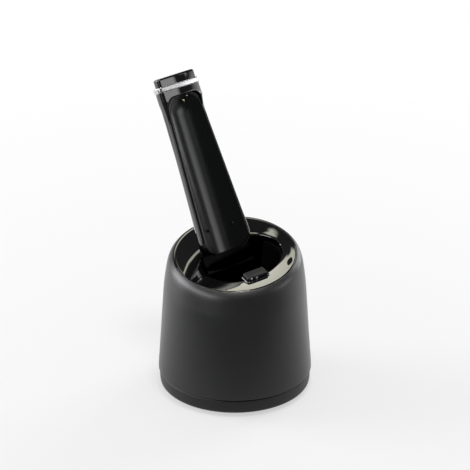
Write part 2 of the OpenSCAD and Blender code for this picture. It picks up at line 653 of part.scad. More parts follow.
// The lift button starts its own travel above the tower's rim, inside the band.
button_s = tower_len + lift_button_travel + 0.4;
button_top = tower_len + band_h + lift_button_h;
module lift_button() color([0.04, 0.04, 0.05]) tower_frame()
    loft([for (q = [[button_s, 0], [button_top - 1.2, 0], [button_top - 0.4, -0.35], [button_top, -1]])
        tower_section(button_w, button_d, 2.6, q[0], q[1], button_rf, button_front)]);

rod_r = 1.6;
rod_depth = 10.9;
rod_end = -12;
module push_rod() color([0.75, 0.75, 0.72]) tower_frame() translate([0, rod_depth, rod_end])
    cylinder(r = rod_r, h = button_s - rod_end, $fn = 32);

// The latch: an upper arm under the push rod, and a lower arm with a hook under the catch.
module latch_lever() color([0.75, 0.75, 0.72]) difference() {
    union() {
        translate([-2.5, 0, 0]) rotate([90, 0, 90]) linear_extrude(5)
            polygon([lever_tip - 0.6 * across - [0, 4], lever_tip - 0.6 * across,
                lever_tip + 3 * across, [lever_y - 1, lever_z + 4], [lever_y + 3, lever_z + 3],
                [hook_y + 2.3, chassis_z + 5], [hook_y + 2.3, catch_z - 4], [hook_y - 0.9, catch_z - 1.5],
                [hook_y - 0.9, catch_z - 0.3], [hook_y + 0.3, catch_z - 0.3],
                [hook_y + 0.3, chassis_z + 3], [lever_y - 3, lever_z - 3]]);
        translate([-2.5, lever_y, lever_z]) rotate([0, 90, 0]) cylinder(r = 4.6, h = 5, $fn = 48);
    }
    translate([-20, lever_y, lever_z]) rotate([0, 90, 0]) cylinder(r = 1.55, h = 40, $fn = 32);
}
along = [sin(lean), cos(lean)];   // the tower's axis, and the way across it, in the Y-Z plane
across = [cos(lean), -sin(lean)];
rod_tip = [tower_y, tower_z] + rod_depth * across + rod_end * along;
lever_tip = rod_tip - 0.3 * along;

// ---- Controls ------------------------------------------------------------------------------

button_face = -start_d / 2 + 0.6;
module at_marks() control_frame() for (x = [-5.6, -1.6]) translate([x, -start_d / 2, -0.5])
    rotate([-90, 0, 0]) children();
module start_button() color([0.08, 0.08, 0.1]) difference() {
    control_frame() {
        translate([-start_w / 2, -start_d / 2, -dish_drop + start_travel - 0.5])
            cube([start_w, start_d, 3.2]);
        translate([0, stem_y, board_z + 4.8]) cylinder(r = stem_r, h = 12, $fn = 32);
    }
    at_marks() translate([0, 0, -1]) cylinder(r = 0.8, h = 1.8, $fn = 24);
}

module button_marks() color([0.9, 0.9, 0.88]) at_marks() cylinder(r = 0.8, h = 0.8, $fn = 24);

module indicator_window() color([0.02, 0.02, 0.03]) deck_frame() translate([0, 0, -1.9])
    linear_extrude(1.9) window_outline(0);

base_tray();
rubber_feet();
guide_columns();
column_buffers();
catch_post();
base_screws();
cartridge_tub();
cartridge_lid();
port_seals();
cleaning_fluid();
outer_shell();
deck_ring();
bowl();
bowl_strainer();
chassis();
guide_pins();
tower_foot();
tower_front();
tower_back();
cradle_panel();
trim_band();
contact_board();
main_board();
button_board();
start_switch();
indicator_window();
pump_motor();
pump_chamber();
suction_pipe();
delivery_nozzle();
fan_housing();
power_socket();
socket_pins();
latch_pin();
housing_screws();
lift_button();
push_rod();
latch_lever();
start_button();
button_marks();
contact_pin(0);  // contact_pin_left
contact_pin(1);  // contact_pin_right
pump_rotor();
fan_rotor();
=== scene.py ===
"""Looks for the shaver cleaning station: moulded shells, a dished deck, a cradle tower and its trim.

Shapes are in millimetres in the construction's own frame and are turned to metres as they are built.
"""

import json
import math

import bmesh
import bpy
from mathutils import Matrix, Vector


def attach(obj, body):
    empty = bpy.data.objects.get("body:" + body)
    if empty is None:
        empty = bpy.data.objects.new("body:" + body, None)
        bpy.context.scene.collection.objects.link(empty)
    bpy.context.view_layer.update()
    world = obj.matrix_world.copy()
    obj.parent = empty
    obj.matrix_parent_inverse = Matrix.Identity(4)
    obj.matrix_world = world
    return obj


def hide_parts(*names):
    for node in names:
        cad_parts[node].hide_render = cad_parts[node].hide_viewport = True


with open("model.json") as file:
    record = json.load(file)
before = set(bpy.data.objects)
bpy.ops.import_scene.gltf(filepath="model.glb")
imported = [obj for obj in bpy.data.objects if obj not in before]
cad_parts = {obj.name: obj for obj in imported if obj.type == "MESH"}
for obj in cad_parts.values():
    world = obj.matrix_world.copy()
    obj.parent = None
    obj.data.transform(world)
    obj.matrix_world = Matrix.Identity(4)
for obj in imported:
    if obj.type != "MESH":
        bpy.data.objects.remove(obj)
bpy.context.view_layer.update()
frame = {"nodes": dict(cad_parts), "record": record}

MM = 0.001
COS45 = math.sqrt(0.5)

# ---- Sizes, the same as the construction's --------------------------------------------------

FOOT_H = 1.5
TRAY_TOP = 13.6
TRAY_R = 58.2
SEAM_Z = 14.4
POT_R = 59
DECK_Z = 110.3
DECK_R = 47
DECK_SLOPE = math.radians(10.7)  # down towards -X and -Y
WALL = 2.2
MOUTH_A, MOUTH_B = 33.2, 26.7  # half axes of the bowl's mouth
MOUTH_SHIFT = (3.4, -4.2)
LEDGE = 1.8  # depth below the deck at which its ring sits in the pot
LIP_DROP = 6.8
SHELF_DROP = 7
BOWL_FLOOR_Z = 66
WELL_BACK = 6  # place along Y of the well's straight rear wall

TOWER_FOOT = (0, 7, 115.6)
LEAN = math.radians(29.4)
TOWER_LEN = 125.8
TOWER_CUT = -10  # where the tower ends below its foot
SPLIT = 5  # depth of the seam between the tower's front and back
SPLIT_GAP = 0.25
PANEL_TOP = 120.4
PANEL_W0, PANEL_W1 = 42.6, 32  # width above its rounded foot and at its shoulder
PANEL_CORNER = 7
PANEL_SHOULDER = PANEL_TOP - PANEL_CORNER  # where the rounding of its upper corners starts
HOLLOW_FOOT, HOLLOW_HEAD = 7, 3.6  # depth of the panel's hollow at its two ends
HOLLOW_END = 105.8  # where its rounded upper end starts
HEAD_W, HEAD_D, HEAD_FRONT = 38.4, 15, 3.4
BAND_H = 4.2
BUTTON_W, BUTTON_D, BUTTON_FRONT = 35.6, 12.9, 2.9
BUTTON_FOOT = TOWER_LEN + 2.9
BUTTON_TOP = TOWER_LEN + BAND_H + 6.8

START_W, START_D = 17.5, 8.4
START_Y = 30.4
START_FOOT, START_TOP = -1.7, 1.5
CONSOLE_W, CONSOLE_D, CONSOLE_CORNER = 20.5, 11.4, 2.6
CONSOLE_MIDDLE = (0, -0.6)
CONSOLE_TURN = math.radians(-8)
WINDOW_AT = (26.5, -33.8)
WINDOW_TURN = math.radians(38)

SOCKET_TURN = math.radians(24)
SOCKET_Z = 66
SOCKET_W, SOCKET_H, SOCKET_CORNER = 14.6, 9.6, 1.6

TOWER_FRAME = Matrix.Translation(TOWER_FOOT) @ Matrix.Rotation(-LEAN, 4, "X")
DECK_FRAME = Matrix.Translation((0, 0, DECK_Z)) @ Matrix.Rotation(DECK_SLOPE, 4, Vector((1, -1, 0)))
CONSOLE_FRAME = (DECK_FRAME @ Matrix.Rotation(CONSOLE_TURN, 4, "Z")
                 @ Matrix.Translation((0, -START_Y, 0)))

# ---- Finishes -------------------------------------------------------------------------------


class Value:
    """A socket of a node tree. Arithmetic on it adds Math nodes."""

    def __init__(self, tree, socket):
        self.tree, self.socket = tree, socket

    def _math(self, operation, *terms):
        return add_node(self.tree, "ShaderNodeMath", {"operation": operation}, *terms)

    def __add__(self, other):
        return self._math("ADD", self, other)

    def __radd__(self, other):
        return self._math("ADD", other, self)

    def __sub__(self, other):
        return self._math("SUBTRACT", self, other)

    def __rsub__(self, other):
        return self._math("SUBTRACT", other, self)

    def __mul__(self, other):
        return self._math("MULTIPLY", self, other)

    def __rmul__(self, other):
        return self._math("MULTIPLY", other, self)

    def clamp(self, low, high):
        return self._math("MINIMUM", self._math("MAXIMUM", self, low), high)


def put(tree, socket, value):
    """Links a value to a socket, or sets the socket to a plain number, colour or vector."""
    if isinstance(value, Value):
        tree.links.new(value.socket, socket)
    else:
        socket.default_value = value


def add_node(tree, kind, settings=None, *terms, output=0, **sockets):
    """Adds a node and returns one of its outputs. Its settings are set first, then the values or
    links of its sockets: those in terms by their order, the others by name."""
    node = tree.nodes.new(kind)
    for name, value in (settings or {}).items():
        setattr(node, name, value)
    for socket, term in zip(node.inputs, terms):
        put(tree, socket, term)
    for name, value in sockets.items():
        put(tree, node.inputs[name], value)
    return Value(tree, node.outputs[output])


def mix_colors(tree, share, first, second):
    """A colour that is the first one, and the second one by a share."""
    return add_node(tree, "ShaderNodeMix", {"data_type": "RGBA"}, output="Result",
                    Factor=share, A=first, B=second)


def dot(tree, vector, direction):
    """How far a vector goes along a direction."""
    return add_node(tree, "ShaderNodeVectorMath", {"operation": "DOT_PRODUCT"}, vector, direction,
                    output="Value")


def finish(name, color, roughness, grain=None, smudge=0.0, tint=0.0, **sockets):
    """A moulded or metal finish. grain is the size and the height in mm of a fine texture, smudge
    how much its gloss wanders from place to place, and tint how much its shade does. Further
    sockets of its shader are named with _ for each space."""
    made = bpy.data.materials.new(name)
    made.use_nodes = True
    tree = made.node_tree
    shader = tree.nodes["Principled BSDF"]
    shader.inputs["Base Color"].default_value = (*color, 1)
    shader.inputs["Roughness"].default_value = roughness
    for socket, value in sockets.items():
        shader.inputs[socket.replace("_", " ")].default_value = value
    place = add_node(tree, "ShaderNodeTexCoord", output="Object")
    if grain:
        size, height = grain
        fine = add_node(tree, "ShaderNodeTexNoise", Vector=place, Scale=1 / (size * MM), Detail=2.0)
        bump = add_node(tree, "ShaderNodeBump", Height=fine, Distance=height * MM, Strength=0.6)
        put(tree, shader.inputs["Normal"], bump)
    cloud = add_node(tree, "ShaderNodeTexNoise", Vector=place, Scale=45.0, Detail=4.0)
    if smudge:
        put(tree, shader.inputs["Roughness"], (roughness + (cloud - 0.5) * smudge).clamp(0.02, 1.0))
    if tint:
        paler = tuple(min(1.0, c * (1 + tint)) for c in color) + (1,)
        darker = tuple(c * (1 - tint) for c in color) + (1,)
        put(tree, shader.inputs["Base Color"], mix_colors(tree, cloud, darker, paler))
    return made


# Each slot's finish: name, colour, roughness, grain, smudge, tint and further sockets.
FINISH = {
    "pot_matt": finish("matt anthracite", (0.0165, 0.0168, 0.0172), 0.38, (0.3, 0.012), 0.06, 0.08,
                       Specular_IOR_Level=0.65, Sheen_Weight=0.16, Sheen_Roughness=0.3),
    "tray_dark": finish("matt near black", (0.011, 0.011, 0.0115), 0.42, (0.3, 0.012), 0.06, 0.08),
    "gloss_black": finish("polished black", (0.0022, 0.0022, 0.0026), 0.05, None, 0.03, 0.0,
                          Coat_Weight=1.0, Coat_Roughness=0.03),
    "bowl_black": finish("satin black", (0.001, 0.001, 0.001), 0.55, (0.5, 0.01), 0.06, 0.1,
                         Specular_IOR_Level=0.08),
    "cradle_matt": finish("matt black", (0.005, 0.0058, 0.0056), 0.22, (0.25, 0.004), 0.03, 0.1,
                          Specular_IOR_Level=0.24),
    "button_black": finish("satin dark key", (0.007, 0.007, 0.0095), 0.44, (0.4, 0.004), 0.04, 0.1,
                           Specular_IOR_Level=0.34),
    "trim_chrome": finish("bright trim", (0.66, 0.66, 0.68), 0.28, None, 0.02, 0.02, Metallic=1.0),
    "foot_rubber": finish("rubber", (0.02, 0.02, 0.02), 0.8, (0.4, 0.02), 0.08, 0.15),
    "inner_light": finish("natural moulding", (0.45, 0.45, 0.42), 0.5, (0.4, 0.01), 0.08, 0.05),
    "inner_dark": finish("black moulding", (0.012, 0.012, 0.013), 0.5, (0.3, 0.01), 0.06, 0.1),
    "bright_steel": finish("bright steel", (0.6, 0.6, 0.62), 0.3, (0.2, 0.003), 0.12, 0.03,
                           Metallic=1.0),
    "rotor_grey": finish("grey moulding", (0.12, 0.12, 0.13), 0.45, (0.4, 0.01), 0.06, 0.06),
    "cartridge_blue": finish("translucent blue", (0.03, 0.1, 0.35), 0.22, (0.6, 0.004), 0.08, 0.08,
                             Alpha=0.88),
    "lid_grey": finish("pale grey", (0.5, 0.52, 0.55), 0.45, (0.4, 0.01), 0.08, 0.04),
    "fluid_blue": finish("blue fluid", (0.02, 0.2, 0.5), 0.1, None, 0.03, 0.05, Alpha=0.7),
    "board_green": finish("green board", (0.01, 0.09, 0.03), 0.4, (0.5, 0.01), 0.08, 0.2),
    "switch_grey": finish("grey switch", (0.2, 0.2, 0.21), 0.45, (0.4, 0.01), 0.06, 0.06),
    "window_black": finish("smoked window", (0.002, 0.002, 0.003), 0.4, None, 0.05, 0.1,
                           Specular_IOR_Level=0.03),
    # White dots of painted highlight on the start button.
    "mark_white": finish("white marks", (0.8, 0.8, 0.78), 0.4, (0.3, 0.005), 0.05, 0.03),
    "contact_gold": finish("plated contacts", (0.5, 0.46, 0.34), 0.3, (0.15, 0.002), 0.08, 0.04,
                           Metallic=1.0)}

# The construction's own pieces have their finishes too. Further down, those in sight are replaced.
finish_of_node = {part["node"]: part["material_slot"] for part in frame["record"]["subparts"]}
for name, node in frame["nodes"].items():
    node.data.materials.clear()
    node.data.materials.append(FINISH[finish_of_node[name]])

# ---- Shape helpers --------------------------------------------------------------------------


def smooth(rows, steps):
    """Fills in rows of numbers with a cubic that passes through each row and never overshoots."""
    keys = [0.0]
    for a, b in zip(rows, rows[1:]):
        keys.append(keys[-1] + math.dist(a[:2], b[:2]))
    slopes = []
    for a, b, ka, kb in zip(rows, rows[1:], keys, keys[1:]):
        slopes.append([(q - p) / (kb - ka) for p, q in zip(a, b)])
    tangents = [slopes[0]]
    for s, t in zip(slopes, slopes[1:]):
        tangents.append([2 * p * q / (p + q) if p * q > 0 else 0.0 for p, q in zip(s, t)])
    tangents.append(slopes[-1])
    filled = []
    for i, (a, b) in enumerate(zip(rows, rows[1:])):
        gap = keys[i + 1] - keys[i]
        for k in range(steps):
            t = k / steps
            h = (2 * t**3 - 3 * t**2 + 1, (t**3 - 2 * t**2 + t) * gap,
                 3 * t**2 - 2 * t**3, (t**3 - t**2) * gap)
            filled.append([h[0] * p + h[1] * m + h[2] * q + h[3] * n
                           for p, m, q, n in zip(a, tangents[i], b, tangents[i + 1])])
    return filled + [list(rows[-1])]


def at(rows, key):
    """Reads a table whose first column rises, between its rows."""
    for a, b in zip(rows, rows[1:]):
        if key <= b[0]:
            t = max(0.0, (key - a[0]) / (b[0] - a[0]))
            return [p + (q - p) * t for p, q in zip(a, b)]
    return list(rows[-1])


def around(count):
    """Angles at even steps round a full turn."""
    return [2 * math.pi * i / count for i in range(count)]


def rise(x, y):
    """How much higher the deck is at a place than over the pot's middle."""
    return math.tan(DECK_SLOPE) * (x + y) * COS45


def sloped_ring(a, b, z, share=1.0, shift=(0, 0), count=240):
    """An ellipse of half axes a and b at height z that takes a share of the deck's slope."""
    ring = []
    for t in around(count):
        x, y = shift[0] + a * math.cos(t), shift[1] + b * math.sin(t)
        ring.append((x, y, z + share * rise(x, y)))
    return ring


def rounded_ring(w, d, r, z, middle=(0, 0), count=8):
    """A rectangle w by d with corners of radius r, at height z."""
    ring = []
    for cx, cy, start in ((1, 1, 0), (-1, 1, 90), (-1, -1, 180), (1, -1, 270)):
        for i in range(count + 1):
            t = math.radians(start + 90 * i / count)
            ring.append((middle[0] + cx * (w / 2 - r) + r * math.cos(t),
                         middle[1] + cy * (d / 2 - r) + r * math.sin(t), z))
    return ring


def turned(middle, profile, count=40):
    """Rings of a turned part whose axis runs along Y, at x and z. Its profile is radius and y."""
    x, z = middle
    return [[(x + r * math.cos(t), y, z + r * math.sin(t)) for t in around(count)] for r, y in profile]


def mirrored(row):
    """The right half of a row that runs over the left half."""
    return [(-x, y, z) for x, y, z in reversed(row)]


class Shape:
    """Points and faces in millimetres, on the way to being one piece of the model."""

    def __init__(self):
        self.points, self.faces = [], []

    def ring(self, points):
        """Adds points and returns their numbers."""
        first = len(self.points)
        self.points += [tuple(p) for p in points]
        return list(range(first, len(self.points)))

    def skin(self, rings, closed=True, first_cap=False, last_cap=False):
        """A surface through rings that have as many points each. Caps close its two ends."""
        rows = [self.ring(r) for r in rings]
        for a, b in zip(rows, rows[1:]):
            for i in range(len(a) - (0 if closed else 1)):
                j = (i + 1) % len(a)
                self.faces.append((a[i], a[j], b[j], b[i]))
        if first_cap:
            self.faces.append(tuple(reversed(rows[0])))
        if last_cap:
            self.faces.append(tuple(rows[-1]))
        return self

    def split(self, wanted):
        """Takes the faces away whose points all have the wanted height, as a shape of their own."""
        part = Shape()
        part.points = self.points
        part.faces = [f for f in self.faces if all(wanted(self.points[i][2]) for i in f)]
        taken = set(part.faces)
        self.faces = [f for f in self.faces if f not in taken]
        return part

    def mesh(self, name, place):
        """The shape as a mesh in metres, moved to its place."""
        place = place or Matrix()
        mesh = bpy.data.meshes.new(name)
        mesh.from_pydata([(place @ Vector(p)) * MM for p in self.points], [], self.faces)
        return mesh

    def build(self, name, body, nodes, slot, place=None, sharp=32, even=True):
        """Makes the piece. It rides on a body, stands for nodes of the construction and has the
        finish of a slot. Edges that turn by more than sharp degrees stay sharp."""
        mesh = self.mesh(name, place)
        shape = bmesh.new()
        shape.from_mesh(mesh)
        bmesh.ops.remove_doubles(shape, verts=shape.verts, dist=0.002 * MM)
        bmesh.ops.dissolve_degenerate(shape, edges=shape.edges, dist=0.001 * MM)
        bmesh.ops.delete(shape, geom=[v for v in shape.verts if not v.link_faces], context="VERTS")
        bmesh.ops.recalc_face_normals(shape, faces=shape.faces)
        shape.to_mesh(mesh)
        shape.free()
        mesh.shade_smooth()
        mesh.set_sharp_from_angle(angle=math.radians(sharp))
        piece = bpy.data.objects.new(name, mesh)
        bpy.context.scene.collection.objects.link(piece)
        mesh.materials.append(FINISH[slot])
        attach(piece, body)
        if nodes:
            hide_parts(*nodes)
        if even:
            normals = piece.modifiers.new("even normals", "WEIGHTED_NORMAL")
            normals.keep_sharp = True
        return piece


def cut(piece, shape, place=None):
    """Cuts a closed shape out of a piece, once the shape's faces all look outwards."""
    mesh = shape.mesh("cutter", place)
    closed = bmesh.new()
    closed.from_mesh(mesh)
    bmesh.ops.recalc_face_normals(closed, faces=closed.faces)
    closed.to_mesh(mesh)
    closed.free()
    cutter = bpy.data.objects.new("cutter", mesh)
    bpy.context.scene.collection.objects.link(cutter)
    opening = piece.modifiers.new("opening", "BOOLEAN")
    opening.operation, opening.solver, opening.object = "DIFFERENCE", "EXACT", cutter
    bpy.context.view_layer.objects.active = piece
    bpy.ops.object.modifier_move_to_index(modifier="opening", index=0)
    bpy.ops.object.modifier_apply(modifier="opening")
    bpy.data.objects.remove(cutter)
    bpy.data.meshes.remove(mesh)


# ---- Pot ------------------------------------------------------------------------------------

# Outside of the pot, then its ledge and its inside: height, radius, share of the deck's slope.
POT = [[SEAM_Z, POT_R - 0.6, 0], [SEAM_Z + 0.25, POT_R - 0.2, 0], [SEAM_Z + 0.8, POT_R - 0.05, 0],
       [30, POT_R - 0.9, 0], [44.9, POT_R - 1.9, 0], [66.1, POT_R - 3.2, 0.15],
       [DECK_Z - 24, DECK_R + 7.4, 0.5], [DECK_Z - 13, DECK_R + 6.0, 0.9], [DECK_Z - 8, DECK_R + 5.1, 1],
       [DECK_Z - 4, DECK_R + 3.9, 1], [DECK_Z - 1.9, DECK_R + 2.6, 1], [DECK_Z - 0.6, DECK_R + 1.3, 1],
       [DECK_Z - 0.1, DECK_R + 0.55, 1], [DECK_Z - 0.15, DECK_R + 0.2, 1]]
POT_INSIDE = [[DECK_Z - LEDGE, DECK_R + 0.2, 1], [DECK_Z - LEDGE, DECK_R - 2.2, 1],
              [DECK_Z - LEDGE - 1.4, DECK_R - 2.2, 1], [DECK_Z - 7.2, DECK_R + 2.3, 1],
              [DECK_Z - 24, DECK_R + 5.3, 0.5], [66.1, POT_R - 5, 0.15],
              [SEAM_Z + 0.8, POT_R - WALL, 0], [SEAM_Z, POT_R - WALL, 0], [SEAM_Z, POT_R - 0.6, 0]]

pot = Shape().skin([sloped_ring(r, r, z, s) for z, r, s in smooth(POT, 5) + POT_INSIDE])
pot = pot.build("pot_shell", "housing", ["outer_shell"], "pot_matt")

# The opening for the power inlet, from inside the wall to outside it.
recess = []
for depth in (44, 66):
    outline = rounded_ring(SOCKET_W, SOCKET_H, SOCKET_CORNER, depth)
    recess.append([(x, y, z + SOCKET_Z) for x, z, y in outline])
cut(pot, Shape().skin(recess, first_cap=True, last_cap=True), Matrix.Rotation(SOCKET_TURN, 4, "Z"))

# ---- Base tray ------------------------------------------------------------------------------

# Outside of the tray, then its rim and its inside: radius, height.
TRAY = smooth([[TRAY_R - 4.6, FOOT_H], [TRAY_R - 1.7, FOOT_H + 1.5], [TRAY_R - 0.6, FOOT_H + 3.2],
               [TRAY_R - 0.25, FOOT_H + 6], [TRAY_R, TRAY_TOP - 0.9]], 5)
TRAY += [[TRAY_R - 0.06, TRAY_TOP - 0.4], [TRAY_R - 0.25, TRAY_TOP - 0.12],
         [TRAY_R - 0.55, TRAY_TOP], [TRAY_R - 2, TRAY_TOP], [TRAY_R - 3.6, FOOT_H + 4],
         [TRAY_R - 5, FOOT_H + 2], [0.5, FOOT_H + 2]]
tray = Shape().skin([sloped_ring(0.5, 0.5, FOOT_H, 0)] + [sloped_ring(r, r, z, 0) for r, z in TRAY],
                    first_cap=True, last_cap=True)
tray.build("tray", "base", ["base_tray"], "tray_dark")

# ---- Deck: the dished ring, the start button's console and the window -----------------------

# The dish: share of the way from its edge to the mouth, depth below the deck.
DISH = [[0, 0.55], [0.008, 0.2], [0.03, 0.03], [0.07, 0], [0.15, 0.1], [0.35, 0.45], [0.6, 1],
        [0.8, 1.5], [0.92, 1.95], [0.965, 2.35], [0.99, 3.0], [1, 4.2]]
DISH_SPREAD = 30  # turns shares to about millimetres, so that smoothing weighs both numbers alike
DISH_SKIN = 1.8  # how thick the dish is


def dish_ring(u, depth, skin=0.0, count=360):
    """A ring of the dish. A skin moves it in from the dish's edge and out from the mouth."""
    edge = (DECK_R - 1.3 * skin) * (1 - u)
    return sloped_ring(edge + (MOUTH_A + skin) * u, edge + (MOUTH_B + skin) * u, DECK_Z - depth, 1,
                       (MOUTH_SHIFT[0] * u, MOUTH_SHIFT[1] * u), count)


dish = smooth([[DISH_SPREAD * u, d] for u, d in DISH], 6)
top_side = [dish_ring(u / DISH_SPREAD, d) for u, d in dish]
under_side = [dish_ring(u, d + DISH_SKIN, DISH_SKIN) for u, d in reversed(DISH[1:-2])]
lip = [dish_ring(1, LIP_DROP), dish_ring(1, LIP_DROP, DISH_SKIN)]
deck = Shape()
deck.skin([dish_ring(0, LEDGE)] + top_side + lip + under_side + [dish_ring(0, LEDGE)])


def console_ring(grow, z, w=CONSOLE_W, d=CONSOLE_D, r=CONSOLE_CORNER, middle=CONSOLE_MIDDLE):
    """A ring of the start button's surround, grown outwards, or of the hole in it."""
    ring = rounded_ring(w + 2 * grow, d + 2 * grow, r + grow, z, middle)
    return [CONSOLE_FRAME @ Vector(p) for p in ring]


# The hole for the button is this much wider than the button, and differs from the surround in size.
START_GAP = 0.5
HOLE = {"w": START_W + START_GAP, "d": START_D + START_GAP, "r": 1.2, "middle": (0, 0)}
# The surround's outside and the hole in it: how far each is grown, height.
SURROUND = ((0, -5.6), (0, -1.3), (-0.12, -0.95), (-0.4, -0.68), (-0.75, -0.6))
HOLE_EDGE = ((0.25, -0.6), (0.08, -0.68), (0, -0.85), (0, -2.8))
deck.skin([console_ring(grow, z) for grow, z in SURROUND]
          + [console_ring(grow, z, **HOLE) for grow, z in HOLE_EDGE], first_cap=True, last_cap=True)
deck = deck.build("deck", "housing", ["deck_ring"], "gloss_black", sharp=40)

# The dish is open under the button, so that the button can go down.
button_hole = [console_ring(-0.02, z, **HOLE) for z in (-2.7, 3)]
cut(deck, Shape().skin(button_hole, first_cap=True, last_cap=True))


# The window: radius of its two arcs and how far off its middle they turn. Then its rim: how far it
# is grown, height above the dish. Then its face: share of the way from its middle to its rim.
WINDOW_R, WINDOW_OFF = 8.5, 6.9
WINDOW_RIM = ((0.35, -0.2), (0.35, 0.1), (0.28, 0.2), (0.1, 0.2), (0.0, 0.12))
WINDOW_FACE = (0.85, 0.6, 0.3, 0.05)
WINDOW_LIFT = 0.08


def window_ring(grow, count=40):
    """The outline of the lens-shaped window, in the deck's frame."""
    r = WINDOW_R + grow
    half = math.acos(WINDOW_OFF / r)
    ring = []
    for side in (-1, 1):
        for i in range(count):
            t = side * math.pi / 2 + half * (2 * i / count - 1)
            ring.append((r * math.cos(t), r * math.sin(t) - side * WINDOW_OFF, 0))
    turn = Matrix.Translation((*WINDOW_AT, 0)) @ Matrix.Rotation(WINDOW_TURN, 4, "Z")
    return [turn @ Vector(p) for p in ring]


def on_dish(point, lift):
    """Drops a point of the deck's frame onto the dish, found by halving its share of the way in."""
    p = DECK_FRAME @ Vector((point[0], point[1], 0))
    lo, hi = 0.0, 1.0
    for _ in range(24):
        u = (lo + hi) / 2
        a = DECK_R * (1 - u) + MOUTH_A * u
        b = DECK_R * (1 - u) + MOUTH_B * u
        outside = ((p.x - MOUTH_SHIFT[0] * u) / a) ** 2 + ((p.y - MOUTH_SHIFT[1] * u) / b) ** 2 > 1
        lo, hi = (lo, u) if outside else (u, hi)
    depth = at([[k, d] for k, d in DISH], u)[1]
    return (p.x, p.y, DECK_Z - depth + lift + rise(p.x, p.y))


rings = [[on_dish(p, lift) for p in window_ring(grow)] for grow, lift in WINDOW_RIM]
centre = Vector(WINDOW_AT).to_3d()
for share in WINDOW_FACE:
    rings.append([on_dish(centre.lerp(p, share), WINDOW_LIFT) for p in window_ring(0)])
window = Shape().skin(rings, last_cap=True)
window.build("window", "housing", ["indicator_window"], "window_black", even=False)

# ---- Washing bowl ---------------------------------------------------------------------------

# Inside of the bowl, then its flange and its outside: half axes, height, share of the deck's slope.
BOWL = smooth([[MOUTH_A - 11, MOUTH_B - 10, BOWL_FLOOR_Z, 0],
               [MOUTH_A - 7.5, MOUTH_B - 7, BOWL_FLOOR_Z + 1.5, 0],
               [MOUTH_A - 5, MOUTH_B - 5, BOWL_FLOOR_Z + 7, 0],
               [MOUTH_A - 1, MOUTH_B - 1, DECK_Z - SHELF_DROP, 1]], 6)
BOWL = [[0.2, 0.2, BOWL_FLOOR_Z, 0], [9, 7, BOWL_FLOOR_Z, 0]] + BOWL
BOWL += [[MOUTH_A + 3, MOUTH_B + 3, DECK_Z - LIP_DROP, 1], [MOUTH_A + 3, MOUTH_B + 3, DECK_Z - 8.4, 1],
         [MOUTH_A + 1, MOUTH_B + 1, DECK_Z - 9, 1], [MOUTH_A - 3, MOUTH_B - 3, BOWL_FLOOR_Z + 6, 0],
         [MOUTH_A - 9, MOUTH_B - 8, BOWL_FLOOR_Z - 3, 0]]


def well_ring(a, b, z, share):
    """A ring of the bowl whose back is cut off straight by the well's rear wall."""
    ring = sloped_ring(a, b, z, share, MOUTH_SHIFT, 200)
    return [(x, min(y, WELL_BACK), z) for x, y, z in ring]


bowl = Shape().skin([well_ring(*row) for row in BOWL])
bowl.build("bowl", "housing", ["bowl"], "bowl_black", sharp=50)

# ---- Start button ---------------------------------------------------------------------------

# Outside of the button, up to its slightly hollow top: how far it is set in, height.
START = ((0, START_FOOT), (0, START_TOP - 0.8), (0.06, START_TOP - 0.5), (0.24, START_TOP - 0.22),
         (0.55, START_TOP - 0.05), (1.0, START_TOP), (3.4, START_TOP - 0.18))
START_CORNER = 1.1
STEM_R, STEM_Y, STEM_FOOT = 1.2, -3.1, -10.2
# Two white dots on the button's front: painted highlights, standing for two small glints on it.
GLINT_DOTS = ((-5.6, 0.6), (-1.1, -0.05))  # places along X and Z
GLINT_DOT = ((0.8, -4.15), (0.8, -4.23), (0.72, -4.28), (0.5, -4.3))  # radius, place along Y

start = Shape()
start.skin([rounded_ring(START_W - 2 * inset, START_D - 2 * inset, max(0.3, START_CORNER - inset), z)
            for inset, z in START], first_cap=True, last_cap=True)
start.skin([[(STEM_R * math.cos(t), STEM_Y + STEM_R * math.sin(t), z) for t in around(32)]
            for z in (STEM_FOOT, START_FOOT + 0.2)], first_cap=True)
start.build("start_key", "start_button", ["start_button"], "button_black", CONSOLE_FRAME)
glint_dots = Shape()
for middle in GLINT_DOTS:
    glint_dots.skin(turned(middle, GLINT_DOT, 32), last_cap=True)
glint_dots.build("start_key_painted_glints", "start_button", ["button_marks"], "mark_white", CONSOLE_FRAME)

# ---- Tower ----------------------------------------------------------------------------------

# Up the tower: distance along it, width, depth, depth of its straight sides, how far its front
# stands forward, and the radius of its front corners.
TOWER = smooth([
    [TOWER_CUT, 47.6, 18.5, 3, 0, 1.2], [0, 47, 18.5, 3, 0, 1.2], [10.1, 45.6, 18.2, 3, 0, 1.2],
    [25.2, 43.6, 17.5, 3, 0, 1.2], [50.3, 41, 16.4, 3, 0, 1.2], [75.5, 38.2, 15.5, 3.4, 0, 1.2],
    [95.6, 36.1, 15.2, 4.6, 0, 1.3], [103.2, 35.6, 15, 4.6, 0.1, 1.6],
    [108.4, 35.6, 15, 4.4, 0.8, 2.1], [113.2, 36.8, 15, 2.9, 2.3, 2.7],
    [118.3, 38, 15, 2.6, HEAD_FRONT, 3], [TOWER_LEN, 38, 15, 2.4, HEAD_FRONT, 3]], 6)

# The rounded foot of the tower's front and of the panel: where it starts, and its radius.
TONGUE_S, TONGUE_R = 8, 12
# Points of the panel's outline along its foot's arc, its side, its head's corner and half its top.
FOOT_STEPS, SIDE_STEPS, CORNER_STEPS, TOP_STEPS = 16, 48, 16, 8


def tongue(s):
    """How far each side of the housing's front and of the panel draws in round their foot."""
    return TONGUE_R - math.sqrt(max(0.0, TONGUE_R**2 - max(0.0, TONGUE_S - s) ** 2))


